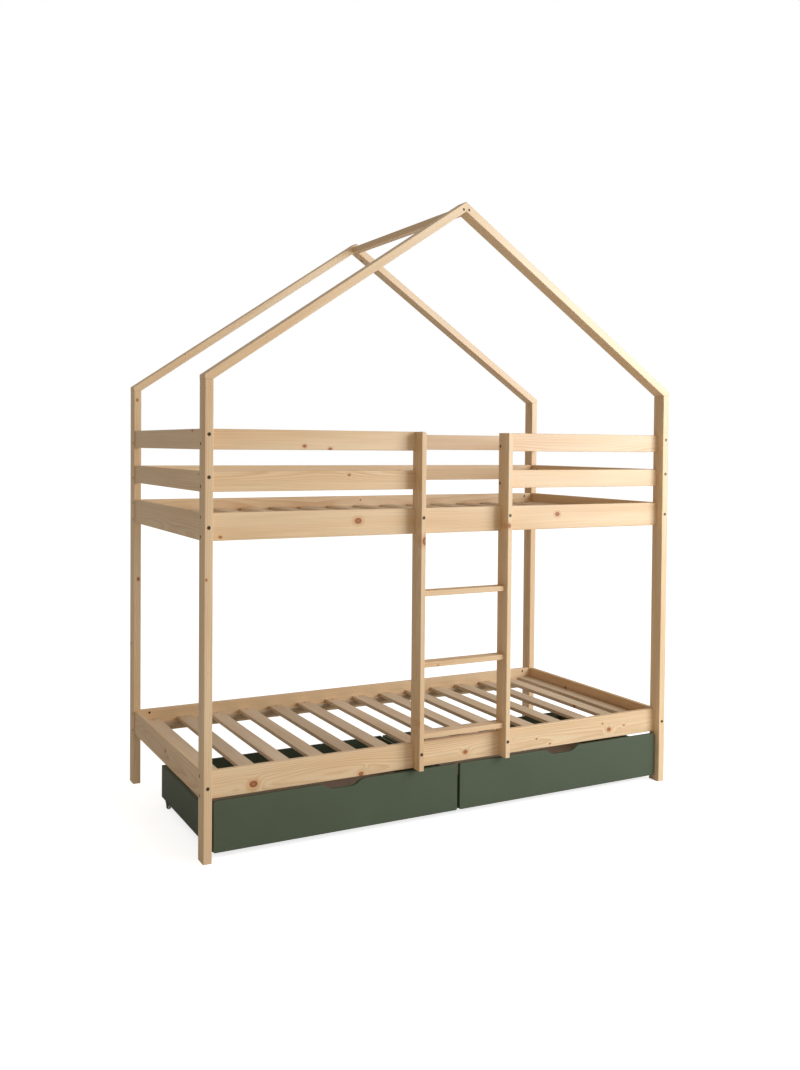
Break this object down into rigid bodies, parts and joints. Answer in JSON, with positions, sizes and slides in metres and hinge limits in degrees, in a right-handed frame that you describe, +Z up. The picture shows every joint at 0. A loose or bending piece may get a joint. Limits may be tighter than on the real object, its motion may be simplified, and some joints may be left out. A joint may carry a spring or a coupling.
{
  "type": "house bunk bed",
  "caption": "Pine bunk bed for children with a gable-roof frame, guard rails, an upright front ladder, slatted bases and painted under-bed drawers on castors.",
  "frame": {"origin": "on the floor, under the middle of the whole bed, ladder included", "axes": "+X along the bed, to the right of someone facing the ladder; +Y from the ladder side to the back; +Z up, from the floor to the roof's apex"},
  "size_m": [2.008, 1.025, 2.3207],
  "materials": {
    "pine": "planed, clear satin lacquer",
    "slat_pine": "planed, bare",
    "green_paint": "fibreboard in satin dark green paint",
    "hardboard": "bare hardboard",
    "zinc_steel": "bright zinc plate",
    "nylon": "moulded, satin"
  },
  "bodies": {
    "frame": {"post_front_left": "pine", "rafter_front_left": "pine", "post_front_right": "pine", "rafter_front_right": "pine", "post_rear_left": "pine", "rafter_rear_left": "pine", "post_rear_right": "pine", "rafter_rear_right": "pine", "ridge_beam": "pine", "side_rail_lower_front": "pine", "side_rail_lower_rear": "pine", "end_rail_lower_left": "pine", "end_rail_lower_right": "pine", "side_rail_upper_front": "pine", "side_rail_upper_rear": "pine", "end_rail_upper_left": "pine", "end_rail_upper_right": "pine", "guard_front_left_low": "pine", "guard_front_right_low": "pine", "guard_rear_low": "pine", "end_guard_low_left": "pine", "end_guard_low_right": "pine", "guard_front_left_top": "pine", "guard_front_right_top": "pine", "guard_rear_top": "pine", "end_guard_top_left": "pine", "end_guard_top_right": "pine", "ladder_stile_left": "pine", "ladder_stile_right": "pine", "ladder_rungs": "pine", "ledgers_lower": "slat_pine", "ledgers_upper": "slat_pine", "slats_lower": "slat_pine", "slats_upper": "slat_pine", "connector_bolts": "zinc_steel", "connector_nuts": "zinc_steel", "roof_screws": "zinc_steel"},
    "drawer_left": {"drawer_left_front": "green_paint", "drawer_left_back": "green_paint", "drawer_left_side_left": "green_paint", "drawer_left_side_right": "green_paint", "drawer_left_bottom": "hardboard", "drawer_left_castor_housings": "zinc_steel", "drawer_left_castor_axles": "zinc_steel"},
    "drawer_left_wheel_front_left": {"drawer_left_wheel_front_left": "nylon"},
    "drawer_left_wheel_front_right": {"drawer_left_wheel_front_right": "nylon"},
    "drawer_left_wheel_rear_left": {"drawer_left_wheel_rear_left": "nylon"},
    "drawer_left_wheel_rear_right": {"drawer_left_wheel_rear_right": "nylon"},
    "drawer_right": {"drawer_right_front": "green_paint", "drawer_right_back": "green_paint", "drawer_right_side_left": "green_paint", "drawer_right_side_right": "green_paint", "drawer_right_bottom": "hardboard", "drawer_right_castor_housings": "zinc_steel", "drawer_right_castor_axles": "zinc_steel"},
    "drawer_right_wheel_front_left": {"drawer_right_wheel_front_left": "nylon"},
    "drawer_right_wheel_front_right": {"drawer_right_wheel_front_right": "nylon"},
    "drawer_right_wheel_rear_left": {"drawer_right_wheel_rear_left": "nylon"},
    "drawer_right_wheel_rear_right": {"drawer_right_wheel_rear_right": "nylon"}
  },
  "joints": [
    {"name": "drawer_left_slide", "type": "slide", "parent": "frame", "child": "drawer_left", "axis": [0, -1, 0], "range_m": [0, 0.5]},
    {"name": "drawer_left_wheel_front_left_spin", "type": "hinge", "parent": "drawer_left", "child": "drawer_left_wheel_front_left", "pos_m": [-0.956, -0.3835, 0.011], "axis": [1, 0, 0], "continuous": true},
    {"name": "drawer_left_wheel_front_right_spin", "type": "hinge", "parent": "drawer_left", "child": "drawer_left_wheel_front_right", "pos_m": [-0.009, -0.3835, 0.011], "axis": [1, 0, 0], "continuous": true},
    {"name": "drawer_left_wheel_rear_left_spin", "type": "hinge", "parent": "drawer_left", "child": "drawer_left_wheel_rear_left", "pos_m": [-0.956, 0.0925, 0.011], "axis": [1, 0, 0], "continuous": true},
    {"name": "drawer_left_wheel_rear_right_spin", "type": "hinge", "parent": "drawer_left", "child": "drawer_left_wheel_rear_right", "pos_m": [-0.009, 0.0925, 0.011], "axis": [1, 0, 0], "continuous": true},
    {"name": "drawer_right_slide", "type": "slide", "parent": "frame", "child": "drawer_right", "axis": [0, -1, 0], "range_m": [0, 0.5]},
    {"name": "drawer_right_wheel_front_left_spin", "type": "hinge", "parent": "drawer_right", "child": "drawer_right_wheel_front_left", "pos_m": [0.014, -0.3835, 0.011], "axis": [1, 0, 0], "continuous": true},
    {"name": "drawer_right_wheel_front_right_spin", "type": "hinge", "parent": "drawer_right", "child": "drawer_right_wheel_front_right", "pos_m": [0.961, -0.3835, 0.011], "axis": [1, 0, 0], "continuous": true},
    {"name": "drawer_right_wheel_rear_left_spin", "type": "hinge", "parent": "drawer_right", "child": "drawer_right_wheel_rear_left", "pos_m": [0.014, 0.0925, 0.011], "axis": [1, 0, 0], "continuous": true},
    {"name": "drawer_right_wheel_rear_right_spin", "type": "hinge", "parent": "drawer_right", "child": "drawer_right_wheel_rear_right", "pos_m": [0.961, 0.0925, 0.011], "axis": [1, 0, 0], "continuous": true}
  ],
  "couplings": [
    {"joint": "drawer_left_wheel_front_left_spin", "follows": "drawer_left_slide", "rad_per_m": 90.909},
    {"joint": "drawer_left_wheel_front_right_spin", "follows": "drawer_left_slide", "rad_per_m": 90.909},
    {"joint": "drawer_left_wheel_rear_left_spin", "follows": "drawer_left_slide", "rad_per_m": 90.909},
    {"joint": "drawer_left_wheel_rear_right_spin", "follows": "drawer_left_slide", "rad_per_m": 90.909},
    {"joint": "drawer_right_wheel_front_left_spin", "follows": "drawer_right_slide", "rad_per_m": 90.909},
    {"joint": "drawer_right_wheel_front_right_spin", "follows": "drawer_right_slide", "rad_per_m": 90.909},
    {"joint": "drawer_right_wheel_rear_left_spin", "follows": "drawer_right_slide", "rad_per_m": 90.909},
    {"joint": "drawer_right_wheel_rear_right_spin", "follows": "drawer_right_slide", "rad_per_m": 90.909}
  ]
}
